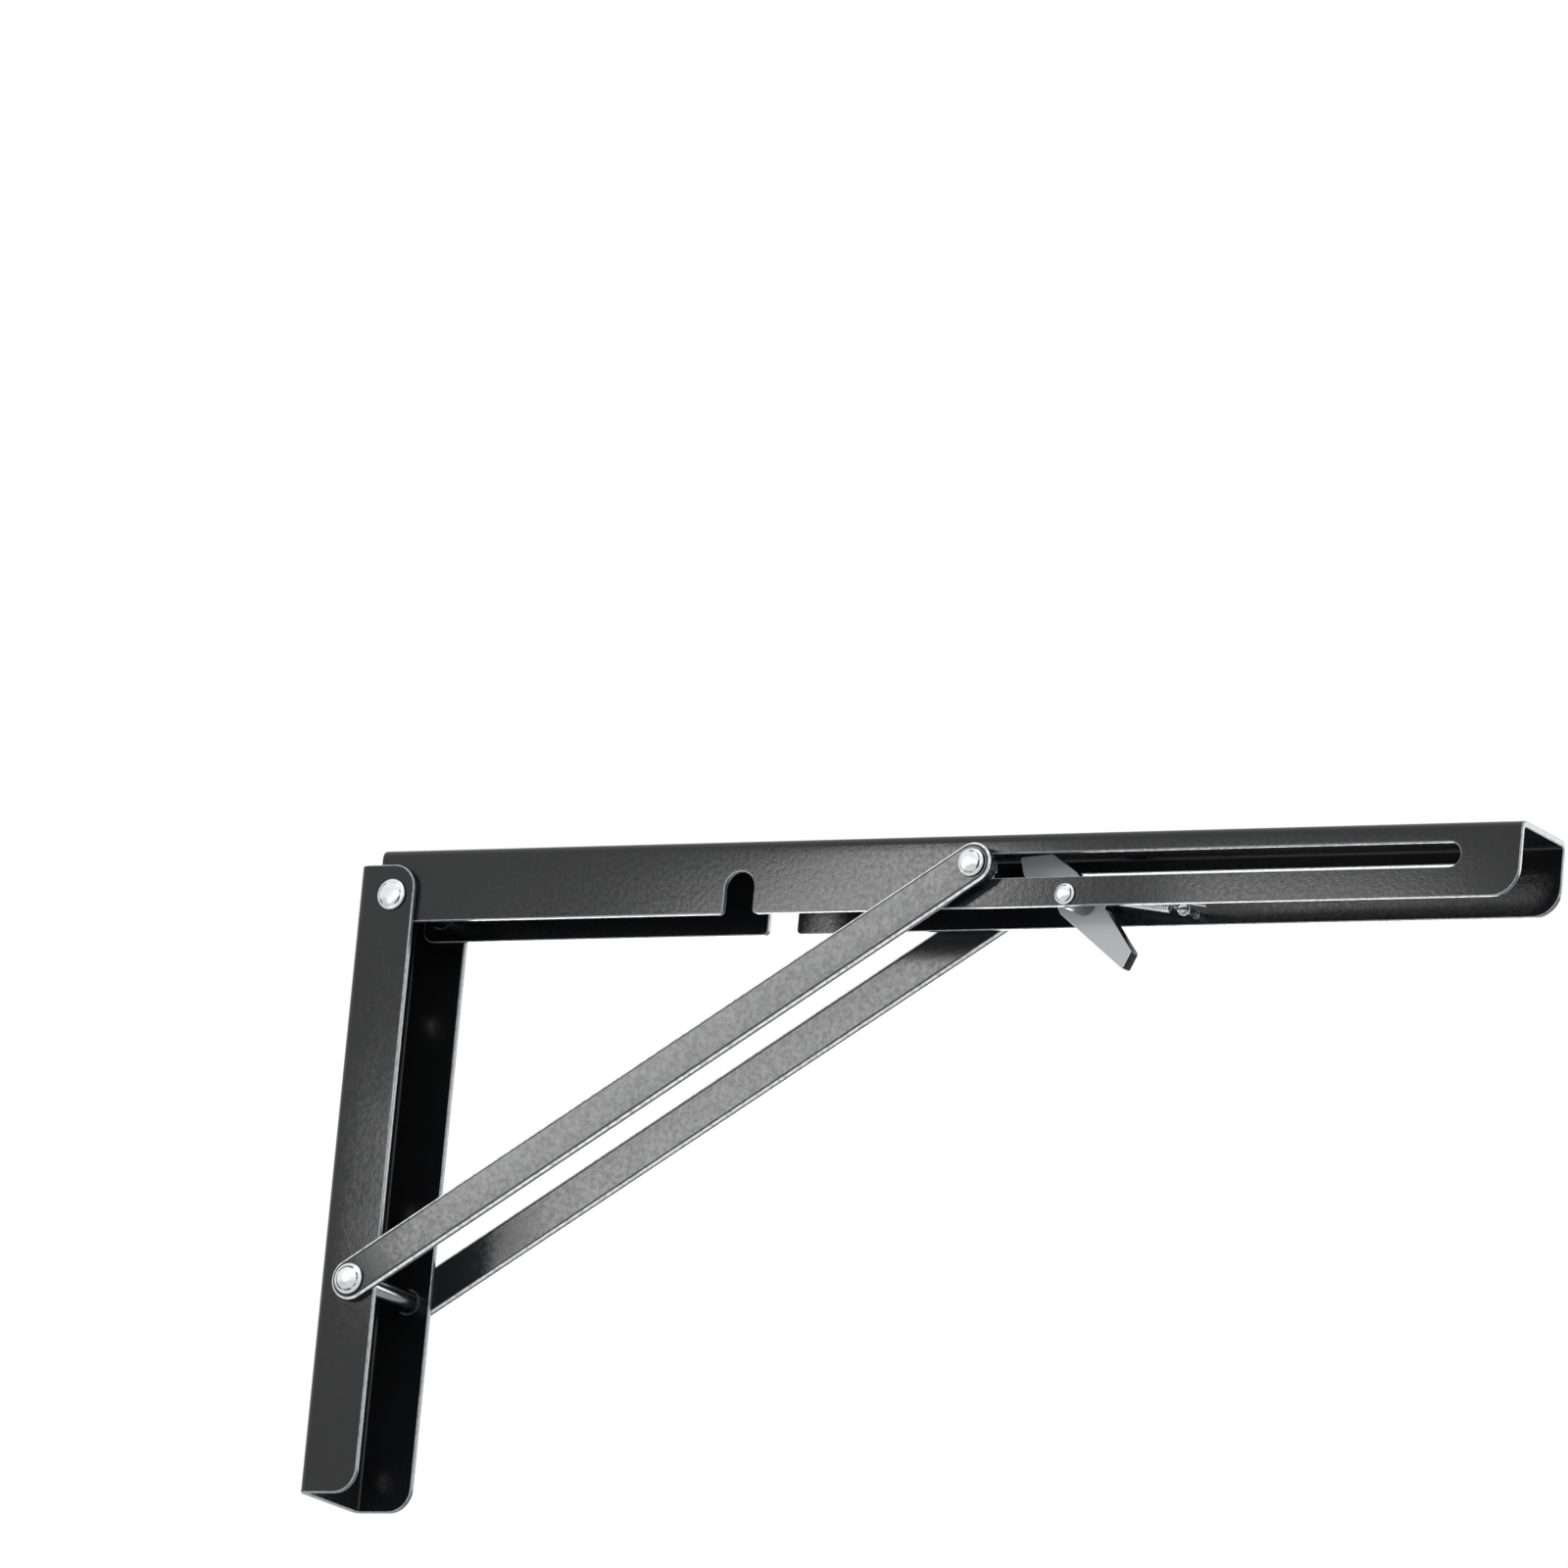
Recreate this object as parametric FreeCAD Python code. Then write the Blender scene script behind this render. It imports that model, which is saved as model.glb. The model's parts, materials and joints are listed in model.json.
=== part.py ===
import FreeCAD, Part
import math
import os

# Folding shelf bracket, shown open with the shelf arm level.
# Millimetres. X runs away from the wall along the shelf arm, Y across the bracket, Z up.
# The origin is on the wall plane, midway across, at the height of the main pivot.
# Y negative is the near side and Y positive is the far side.

# Sheet and widths
sheet = 2.0                  # thickness of both folded channels
bend_radius = 3.0            # outside radius of the folds
shelf_width = 32.0           # outside width of the shelf arm
nest_gap = 0.5               # side gap between the shelf arm and the wall arm
wall_width = shelf_width + 2 * (nest_gap + sheet)

# Wall arm
pivot_to_wall = 13.0         # wall plane to main pivot
wall_depth = 21.0            # wall plane to the free edge of the flanges
wall_above_pivot = 10.0
wall_below_foot = 69.0       # brace foot pivot to the lower end
wall_corner = 8.0            # rounding of the free flange corners

# Shelf arm
shelf_above_pivot = 15.6     # top face over the main pivot
shelf_depth = 24.0
shelf_heel = 6.4             # arm end behind the main pivot
shelf_tip = 24.5             # folded slider pivot to the free end
shelf_tip_corner = 9.0
shelf_heel_corner = 4.0
shelf_top = shelf_above_pivot
shelf_bottom = shelf_above_pivot - shelf_depth

# Brace and its linkage
foot_drop = 127.0            # main pivot to brace foot pivot
slider_reach = 213.0         # main pivot to slider, measured along the level arm
slot_height = 8.0
slot_rise = 5.0              # slot centre line over the main pivot
brace_width = 13.4
brace_thickness = 2.5
brace_gap = 0.3              # wall arm flange to brace bar
brace_edge = 0.5             # bevel of the bar's outer edges
brace_length = math.hypot(slider_reach, foot_drop + slot_rise)
folded_reach = foot_drop + math.sqrt(brace_length ** 2 - slot_rise ** 2)
shelf_reach = folded_reach + shelf_tip
wall_below_pivot = foot_drop + wall_below_foot

# Notches that clear the foot sleeve when the bracket is folded flat
notch_width = 10.8
notch_mouth = 1.5

# Rivets, sleeves, bushes
shank_radius = 3.0
head_radius = 5.2
slider_head_radius = 4.7
head_height = 2.4
head_rim = 0.4
head_bands = 2               # conical bands of a domed head
running_gap = 0.05           # radial clearance of a turning fit
fixed_gap = 0.05             # radial clearance of a closed rivet in its seat
sleeve_radius = 3.8
face_gap = 0.2               # side clearance between stacked pieces
open_gap = 0.3               # clearance at the opened slider pivot
collar_radius = 5.0
collar_thickness = 1.0
washer_radius = 6.0
slot_end_gap = 0.3

# Latch, its rivet and its spring
latch_offset = 31.5          # slider to latch pivot, along the arm
latch_rise = -4.7
latch_thickness = 5.0
latch_boss = 7.5
latch_shank = 2.5
latch_head = 3.6
latch_head_height = 1.9
latch_spacer_radius = 4.0
latch_corner = 0.8
nose_heel = (-22.5, 9.5)
nose_tip = (-24.5, 15.6)
nose_top = (-13.0, 16.4)
nose_foot = (-4.0, 10.4)
handle_front = (8.5, -3.0)
handle_end_upper = (18.0, -15.6)
handle_end_lower = (15.3, -21.4)
handle_back = (-8.5, -3.0)
nose_throat = (-13.0, 5.0)
spring_hole = (4.5, 3.5)
spring_hole_radius = 0.9
spring_wire = 0.4            # wire radius
spring_radius = 2.0          # outside radius of the coils
spring_offset = 5.5          # spring centre line to the middle plane
spring_hook = 3.5            # lever hole to the first coil
spring_neck = 2.5            # last coil to the loop
spring_tail = 8.0
anchor_offset = 31.0         # latch pivot to spring anchor, along the arm
anchor_rise = -5.0
anchor_radius = 1.2
anchor_head = 1.9
anchor_head_thickness = 0.8

# Screw holes in the two webs
screw_radius = 3.0
wall_hole_drops = (32.0, 95.0, 183.0)
shelf_hole_reaches = (40.0, 165.0, 320.0)

# Derived places
pivot_x = pivot_to_wall
foot_z = -foot_drop
shelf_half = shelf_width / 2
wall_half = wall_width / 2
brace_inner = wall_half + brace_gap
brace_outer = brace_inner + brace_thickness
flange_inner = shelf_half - sheet
latch_half = latch_thickness / 2
latch_reach = slider_reach + latch_offset
anchor_reach = latch_reach + anchor_offset
latch_x = pivot_x + latch_reach
past = 1.0                   # how far a cutter runs past the face it cuts


def point(x, y, z):
    return FreeCAD.Vector(x, y, z)


def channel(length, width, depth):
    """Folded U channel along +X: web outside face on Z = 0, flanges hanging down."""
    half = width / 2
    inner_half = half - sheet
    inner_radius = bend_radius - sheet
    tilt = math.sqrt(0.5)
    lines = []

    def bend(side, radius, centre_y, centre_z):
        start = point(0, side * (centre_y + radius), centre_z)
        middle = point(0, side * (centre_y + radius * tilt), centre_z + radius * tilt)
        end = point(0, side * centre_y, centre_z + radius)
        return Part.Arc(start, middle, end).toShape()

    centre_y = half - bend_radius
    centre_z = -bend_radius
    for side in (-1, 1):
        lines.append(Part.makeLine(point(0, side * half, -depth), point(0, side * half, centre_z)))
        lines.append(bend(side, bend_radius, centre_y, centre_z))
        lines.append(bend(side, inner_radius, centre_y, centre_z))
        lines.append(Part.makeLine(point(0, side * inner_half, centre_z), point(0, side * inner_half, -depth)))
        lines.append(Part.makeLine(point(0, side * inner_half, -depth), point(0, side * half, -depth)))
    lines.append(Part.makeLine(point(0, -centre_y, 0), point(0, centre_y, 0)))
    lines.append(Part.makeLine(point(0, -centre_y, -sheet), point(0, centre_y, -sheet)))
    outline = Part.Wire(Part.__sortEdges__(lines))
    return Part.Face(outline).extrude(point(length, 0, 0))


def round_corners(shape, corners):
    """Round the corner edges that run along Y at the given (x, z), each with its radius."""
    near = 0.01
    for x, z, radius in corners:
        picked = []
        for edge in shape.Edges:
            ends = [vertex.Point for vertex in edge.Vertexes]
            if len(ends) == 2 and all(abs(p.x - x) < near and abs(p.z - z) < near for p in ends):
                picked.append(edge)
        shape = shape.makeFillet(radius, picked)
    return shape


def stadium(start, end, radius, y0, y1):
    """Plate with round ends between two (x, z) points, from y0 to y1."""
    run = math.hypot(end[0] - start[0], end[1] - start[1])
    ux = (end[0] - start[0]) / run
    uz = (end[1] - start[1]) / run
    nx, nz = -uz * radius, ux * radius
    a = point(start[0] + nx, y0, start[1] + nz)
    b = point(end[0] + nx, y0, end[1] + nz)
    tip = point(end[0] + ux * radius, y0, end[1] + uz * radius)
    c = point(end[0] - nx, y0, end[1] - nz)
    d = point(start[0] - nx, y0, start[1] - nz)
    tail = point(start[0] - ux * radius, y0, start[1] - uz * radius)
    edges = [
        Part.makeLine(a, b),
        Part.Arc(b, tip, c).toShape(),
        Part.makeLine(c, d),
        Part.Arc(d, tail, a).toShape(),
    ]
    return Part.Face(Part.Wire(edges)).extrude(point(0, y1 - y0, 0))


def rod(x, z, radius, y0, y1):
    """Round bar along Y."""
    return Part.makeCylinder(radius, y1 - y0, point(x, y0, z), point(0, 1, 0))


def tube(x, z, outer, inner, y0, y1):
    """Round sleeve along Y."""
    return rod(x, z, outer, y0, y1).cut(rod(x, z, inner, y0 - past, y1 + past))


def dome(x, z, radius, height, y, side):
    """Rivet head on the plane y: a short rim, then a spherical cap in conical bands, towards side."""
    cap = height - head_rim
    sphere = (radius ** 2 + cap ** 2) / (2 * cap)
    half_angle = math.asin(radius / sphere)
    outline = [point(x, y, z), point(x + radius, y, z)]
    for band in range(head_bands + 1):
        angle = half_angle * (1 - band / head_bands)
        rise = height - sphere + sphere * math.cos(angle)
        outline.append(point(x + sphere * math.sin(angle), y + side * rise, z))
    face = Part.Face(Part.makePolygon(outline + outline[:1]))
    return face.revolve(point(x, 0, z), point(0, 1, 0), 360)


def through_rivet(x, z, shank, head, height, half_span):
    """Rivet with a head at both ends, its heads seated at plus and minus half_span."""
    body = rod(x, z, shank, -half_span, half_span)
    for side in (-1, 1):
        body = body.fuse(dome(x, z, head, height, side * half_span, side))
    return body.removeSplitter()


def screw_holes_in_web(places, along_x, start, end):
    """Cutters for screw holes, on the middle plane, through a web."""
    cutters = []
    for place in places:
        if along_x:
            cutters.append(Part.makeCylinder(screw_radius, end - start, point(start, 0, place), point(1, 0, 0)))
        else:
            cutters.append(Part.makeCylinder(screw_radius, end - start, point(place, 0, start), point(0, 0, 1)))
    return cutters


def cut_all(shape, cutters):
    for cutter in cutters:
        shape = shape.cut(cutter)
    return shape


def wall_arm():
    """Upright channel on the wall, open to the front, with the pivot and foot holes."""
    length = wall_above_pivot + wall_below_pivot
    body = channel(length, wall_width, wall_depth)
    body.rotate(point(0, 0, 0), point(0, 1, 0), -90)
    body.translate(point(0, 0, -wall_below_pivot))
    body = round_corners(body, [
        (wall_depth, wall_above_pivot, wall_corner),
        (wall_depth, -wall_below_pivot, wall_corner),
    ])
    reach = wall_half + past
    cutters = [
        rod(pivot_x, 0, shank_radius + fixed_gap, -reach, reach),
        rod(pivot_x, foot_z, sleeve_radius + running_gap, -reach, reach),
    ]
    holes = [-drop for drop in wall_hole_drops]
    cutters += screw_holes_in_web(holes, True, -past, sheet + past)
    return cut_all(body, cutters)


def shelf_arm():
    """Level channel under the shelf, open below, with slots, notches and pivot holes."""
    left = pivot_x - shelf_heel
    right = pivot_x + shelf_reach
    body = channel(right - left, shelf_width, shelf_depth)
    body.translate(point(left, 0, shelf_top))
    body = round_corners(body, [
        (left, shelf_bottom, shelf_heel_corner),
        (right, shelf_bottom, shelf_tip_corner),
    ])
    reach = shelf_half + past
    notch_x = pivot_x + foot_drop
    notch_end = (notch_x, shelf_bottom - notch_width)
    body = body.cut(stadium((notch_x, 0), notch_end, notch_width / 2, -reach, reach))
    body = round_corners(body, [
        (notch_x - notch_width / 2, shelf_bottom, notch_mouth),
        (notch_x + notch_width / 2, shelf_bottom, notch_mouth),
    ])
    slot_radius = slot_height / 2
    end_shift = slot_radius - sleeve_radius - slot_end_gap
    slot_start = (pivot_x + slider_reach + end_shift, slot_rise)
    slot_end = (pivot_x + folded_reach - end_shift, slot_rise)
    cutters = [
        rod(pivot_x, 0, sleeve_radius + running_gap, -reach, reach),
        stadium(slot_start, slot_end, slot_radius, -reach, reach),
        rod(latch_x, latch_rise, latch_shank + fixed_gap, -reach, reach),
        rod(pivot_x + anchor_reach, anchor_rise, anchor_radius + fixed_gap, 0, reach),
    ]
    holes = [pivot_x + place for place in shelf_hole_reaches]
    cutters += screw_holes_in_web(holes, False, shelf_top - sheet - past, shelf_top + past)
    return cut_all(body, cutters)


def brace_bar(side):
    """Flat bar with round ends, outside both channels, from the foot to the slider."""
    foot = (pivot_x, foot_z)
    head = (pivot_x + slider_reach, slot_rise)
    low, high = sorted((side * brace_inner, side * brace_outer))
    bar = stadium(foot, head, brace_width / 2, low, high)
    outer_edges = [edge for edge in bar.Edges if abs(edge.CenterOfMass.y - side * brace_outer) < 0.01]
    bar = bar.makeChamfer(brace_edge, outer_edges)
    for x, z in (foot, head):
        bar = bar.cut(rod(x, z, shank_radius + fixed_gap, low - past, high + past))
    return bar


def pivot_pieces():
    """Main pivot: a rivet through both channels over a sleeve between the wall arm's flanges."""
    sleeve_half = wall_half - sheet - fixed_gap
    return {
        "pivot_rivet": through_rivet(pivot_x, 0, shank_radius, head_radius, head_height, wall_half),
        "pivot_sleeve": tube(pivot_x, 0, sleeve_radius, shank_radius + fixed_gap, -sleeve_half, sleeve_half),
    }


def foot_pieces():
    """Brace foot: a rivet through both bars over a sleeve that turns in the wall arm."""
    sleeve_half = brace_inner - fixed_gap
    return {
        "foot_rivet": through_rivet(pivot_x, foot_z, shank_radius, head_radius, head_height, brace_outer),
        "foot_sleeve": tube(pivot_x, foot_z, sleeve_radius, shank_radius + fixed_gap,
                            -sleeve_half, sleeve_half),
    }


def slider_pieces(side, name):
    """Upper end of the brace: rivet in the bar, collared bush in the slot, washer between."""
    x = pivot_x + slider_reach
    z = slot_rise
    shank_low, shank_high = sorted((side * brace_inner, side * brace_outer))
    rivet = rod(x, z, shank_radius, shank_low, shank_high)
    rivet = rivet.fuse(dome(x, z, slider_head_radius, head_height, side * brace_outer, side))
    bush_end = brace_inner - open_gap
    collar_outer = flange_inner - face_gap
    collar_inner = collar_outer - collar_thickness
    body_low, body_high = sorted((side * collar_inner, side * bush_end))
    collar_low, collar_high = sorted((side * collar_inner, side * collar_outer))
    bush = rod(x, z, sleeve_radius, body_low, body_high)
    bush = bush.fuse(rod(x, z, collar_radius, collar_low, collar_high))
    bush = bush.cut(rod(x, z, shank_radius + fixed_gap, body_low - past, body_high + past))
    washer_low, washer_high = sorted((side * (shelf_half + face_gap), side * bush_end))
    washer = tube(x, z, washer_radius, sleeve_radius + fixed_gap, washer_low, washer_high)
    return {
        "slider_rivet_" + name: rivet.removeSplitter(),
        "slider_bush_" + name: bush.removeSplitter(),
        "slider_washer_" + name: washer,
    }


def latch_lever():
    """Stamped lever: nose behind the slider, boss on the rivet, handle below the arm."""
    outline = [nose_heel, nose_tip, nose_top, nose_foot, handle_front,
               handle_end_upper, handle_end_lower, handle_back, nose_throat]
    corners = [point(latch_x + x, -latch_half, latch_rise + z) for x, z in outline]
    face = Part.Face(Part.makePolygon(corners + corners[:1]))
    lever = face.extrude(point(0, latch_thickness, 0))
    lever = round_corners(lever, [(corner.x, corner.z, latch_corner) for corner in corners])
    lever = lever.fuse(rod(latch_x, latch_rise, latch_boss, -latch_half, latch_half)).removeSplitter()
    lever = lever.cut(rod(latch_x, latch_rise, latch_shank + running_gap,
                          -latch_half - past, latch_half + past))
    hole_x = latch_x + spring_hole[0]
    hole_z = latch_rise + spring_hole[1]
    return lever.cut(rod(hole_x, hole_z, spring_hole_radius, -latch_half - past, latch_half + past))


def latch_mount():
    """Latch rivet with a spacer on each side that keeps the lever in the middle."""
    low = latch_half + face_gap
    high = flange_inner - fixed_gap
    spacer_bore = latch_shank + fixed_gap
    return {
        "latch_rivet": through_rivet(latch_x, latch_rise, latch_shank, latch_head,
                                     latch_head_height, shelf_half),
        "latch_spacer_near": tube(latch_x, latch_rise, latch_spacer_radius, spacer_bore, -high, -low),
        "latch_spacer_far": tube(latch_x, latch_rise, latch_spacer_radius, spacer_bore, low, high),
    }


def bent_wire(points, radius):
    """Round wire through the points, its runs lapped at the corners."""
    body = None
    for start, end in zip(points, points[1:]):
        lap = (end - start).normalize() * radius
        run = end - start + lap * 2
        piece = Part.makeCylinder(radius, run.Length, start - lap, run)
        body = piece if body is None else body.fuse(piece)
    return body


def spring_anchor():
    """Headed stud in the far flange that holds the spring's loop."""
    x = pivot_x + anchor_reach
    inner = spring_offset - spring_wire - face_gap
    stud = rod(x, anchor_rise, anchor_radius, inner, shelf_half)
    head = rod(x, anchor_rise, anchor_head, inner - anchor_head_thickness, inner)
    return stud.fuse(head).removeSplitter()


def latch_spring():
    """Close-coiled extension spring: coils as one round body, hooked in the lever, looped on the anchor."""
    start = point(latch_x + spring_hole[0], spring_offset, latch_rise + spring_hole[1])
    end = point(pivot_x + anchor_reach, spring_offset, anchor_rise)
    loop_radius = anchor_radius + open_gap + spring_wire
    axis = end - start
    coil_length = axis.Length - spring_hook - spring_neck - loop_radius
    axis.normalize()
    coil_start = start + axis * spring_hook
    coils = Part.makeCylinder(spring_radius, coil_length, coil_start, axis)
    across = point(0, 1, 0).cross(axis).normalize() * (spring_radius - spring_wire)
    hook_end = point(start.x, -latch_half - past, start.z)
    first = coil_start + across + axis * spring_wire
    last = coil_start + across + axis * (coil_length - spring_wire)
    hook = bent_wire([first, coil_start - axis * past, start, hook_end], spring_wire)
    leg_end = end + axis.cross(point(0, 1, 0)) * -loop_radius
    leg = bent_wire([last, leg_end, leg_end + axis * spring_tail], spring_wire)
    loop = tube(end.x, end.z, loop_radius + spring_wire, loop_radius - spring_wire,
                end.y - spring_wire, end.y + spring_wire)
    return coils.fuse([hook, leg, loop]).removeSplitter()


def build():
    parts = {
        "wall_arm": wall_arm(),
        "shelf_arm": shelf_arm(),
        "brace_bar_near": brace_bar(-1),
        "brace_bar_far": brace_bar(1),
        "latch_lever": latch_lever(),
        "spring_anchor": spring_anchor(),
        "latch_spring": latch_spring(),
    }
    parts.update(pivot_pieces())
    parts.update(foot_pieces())
    parts.update(slider_pieces(-1, "near"))
    parts.update(slider_pieces(1, "far"))
    parts.update(latch_mount())
    return parts


os.makedirs("parts", exist_ok=True)
for node, shape in build().items():
    print(node, "solids", len(shape.Solids), "valid", shape.isValid(), "volume", round(shape.Volume, 1))
    shape.exportStep("parts/" + node + ".step")
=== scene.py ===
# %% [markdown]
# A folding shelf bracket, dressed in Blender around its imported CAD model. Every new
# piece is worked out in that same frame, so nothing is fitted by eye. The box of the
# bare CAD model is kept.

import json
import math

import bmesh
import bpy
import numpy as np
from mathutils import Matrix, Vector
from mathutils.geometry import delaunay_2d_cdt


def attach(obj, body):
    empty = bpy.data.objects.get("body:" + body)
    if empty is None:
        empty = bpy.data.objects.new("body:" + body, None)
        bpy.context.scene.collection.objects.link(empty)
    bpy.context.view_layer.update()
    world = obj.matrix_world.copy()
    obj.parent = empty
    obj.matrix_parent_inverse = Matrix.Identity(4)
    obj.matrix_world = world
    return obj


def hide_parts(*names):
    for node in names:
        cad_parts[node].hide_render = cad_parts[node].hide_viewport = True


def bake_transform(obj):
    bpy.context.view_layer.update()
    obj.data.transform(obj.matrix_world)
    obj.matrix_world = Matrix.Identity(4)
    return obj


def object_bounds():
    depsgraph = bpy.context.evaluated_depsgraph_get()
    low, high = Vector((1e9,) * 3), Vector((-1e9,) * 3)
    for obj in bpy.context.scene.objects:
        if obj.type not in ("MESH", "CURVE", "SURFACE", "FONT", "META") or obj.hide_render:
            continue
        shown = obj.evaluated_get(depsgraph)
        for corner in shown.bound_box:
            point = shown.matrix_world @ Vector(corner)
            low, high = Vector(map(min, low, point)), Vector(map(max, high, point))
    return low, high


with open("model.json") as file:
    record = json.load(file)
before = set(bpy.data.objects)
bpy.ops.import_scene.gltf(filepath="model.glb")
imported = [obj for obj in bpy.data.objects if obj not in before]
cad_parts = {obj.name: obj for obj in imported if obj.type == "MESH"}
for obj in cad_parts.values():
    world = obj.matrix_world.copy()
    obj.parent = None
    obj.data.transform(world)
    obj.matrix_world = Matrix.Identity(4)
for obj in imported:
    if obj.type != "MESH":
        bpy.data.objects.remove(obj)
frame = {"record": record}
cad_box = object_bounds()
print("CAD box", [tuple(round(v, 4) for v in corner) for corner in cad_box])

# %% [markdown]
# The photograph is cut out of a larger product picture. It looks from the right of the bracket
# and from a little below it, so the far flanges show beside and under the near ones. A camera
# with no shift can only come near to its perspective. This one has a very long lens and was
# worked out once from the pivots, the slot and the edges of both arms. Two of its axes are
# written as found, and the frame is squared up from them.

# %% Camera
MM = 0.001
PHOTO_SIZE = 1600.0
SENSOR = 36.0
camera_place = Vector((2196.4, -3595.1, -878.7)) * MM
camera_ahead = Vector((-0.48414, 0.84788, 0.21612)).normalized()
camera_down = Vector((-0.02571, 0.23311, -0.97211))
focal_pixels = 13538.7
NEAR_CLIP, FAR_CLIP = 0.1, 60.0

camera_right = camera_down.cross(camera_ahead).normalized()
camera_up = -camera_ahead.cross(camera_right).normalized()
camera_turn = Matrix((camera_right, camera_up, -camera_ahead)).transposed()
camera_data = bpy.data.cameras.new("camera")
camera_data.sensor_width = SENSOR
camera_data.lens = focal_pixels * SENSOR / PHOTO_SIZE
camera_data.clip_start, camera_data.clip_end = NEAR_CLIP, FAR_CLIP
camera = bpy.data.objects.new("camera", camera_data)
camera.matrix_world = Matrix.Translation(camera_place) @ camera_turn.to_4x4()
bpy.context.scene.collection.objects.link(camera)
bpy.context.scene.camera = camera
print("lens", round(camera_data.lens, 1), "mm, right", camera_right, "up", camera_up)

# %% [markdown]
# One small function adds a shader node with its settings and its links, so each material reads
# as a list of what it is made of. Colours are written as they look on a screen, in sRGB hex,
# and one function turns them to the linear values that the renderer adds up.

# %% Node and colour helpers
def linear(hex_colour):
    """sRGB hex to linear RGBA: each channel c becomes c/12.92, or ((c+0.055)/1.055)^2.4 above 0.04045."""
    c = np.array([int(hex_colour[i:i + 2], 16) for i in (0, 2, 4)]) / 255.0
    c = np.where(c <= 0.04045, c / 12.92, ((c + 0.055) / 1.055) ** 2.4)
    return (*c.tolist(), 1.0)


def node(tree, kind, settings=None, **inputs):
    """Adds one node. A value that is a socket is linked, any other value is set on the input.
    An input is named by its label, or as _3 for the fourth one where labels repeat. A Map Range
    takes 0 to 1 (_1, _2) to 0 to 1 (_3, _4) unless told otherwise."""
    made = tree.nodes.new(kind)
    for name, value in (settings or {}).items():
        setattr(made, name, value)
    for name, value in inputs.items():
        key = int(name[1:]) if name[0] == "_" else name.replace("_", " ")
        socket = made.inputs[key]
        if isinstance(value, bpy.types.NodeSocket):
            tree.links.new(value, socket)
        else:
            socket.default_value = value
    return made


def new_material(name):
    """An empty node material and its tree."""
    material = bpy.data.materials.new(name)
    material.use_nodes = True
    material.node_tree.nodes.clear()
    return material, material.node_tree


def close_material(tree, shader):
    """Links a shader to the material's output."""
    node(tree, "ShaderNodeOutputMaterial", Surface=shader.outputs[0])


# %% [markdown]
# Powder coat. The steel is sprayed with dry polyester powder and baked, which leaves a black
# skin about 0.08 mm thick with a faint orange peel: ripples 1 to 2 mm across that are only some
# hundredths of a millimetre high. To the eye it is a deep gloss whose mirrored edges waver.
# A noise in Object coordinates gives the peel and a slow drift in tint. Along every sheared edge a
# fine pale line is a painted highlight, standing for the light that the rounded edges catch, and the
# cut itself keeps its own tone. That could be painted by hand, but here each sheet piece carries an
# attribute, turn, that runs from 0 on its faces to 1 on its cut, so the painted highlight follows every
# edge.
# The bars have a glossier black coat than the arms. The grey of the lever's faces is a painted
# reflection, made light against the shade inside the channel, and its cut is dark and matt.

# %% Powder coat
PEEL_MM = 1.6
FINE_RIPPLES, FINE_SHARE = 2.7, 0.5
DRIFT_MM = 38.0
COAT_IOR = 1.45
LINE_START, LINE_FULL = 0.05, 0.32
CUT_START, CUT_FULL = 0.62, 0.95
BREAKUP_LOW, BREAKUP_HIGH, LEAST_LINE = 0.3, 0.55, 0.55
PEEL_LOW, PEEL_HIGH = 0.3, 0.7
PEEL_SMOOTHER, PEEL_ROUGHER = 0.05, 0.06


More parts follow.
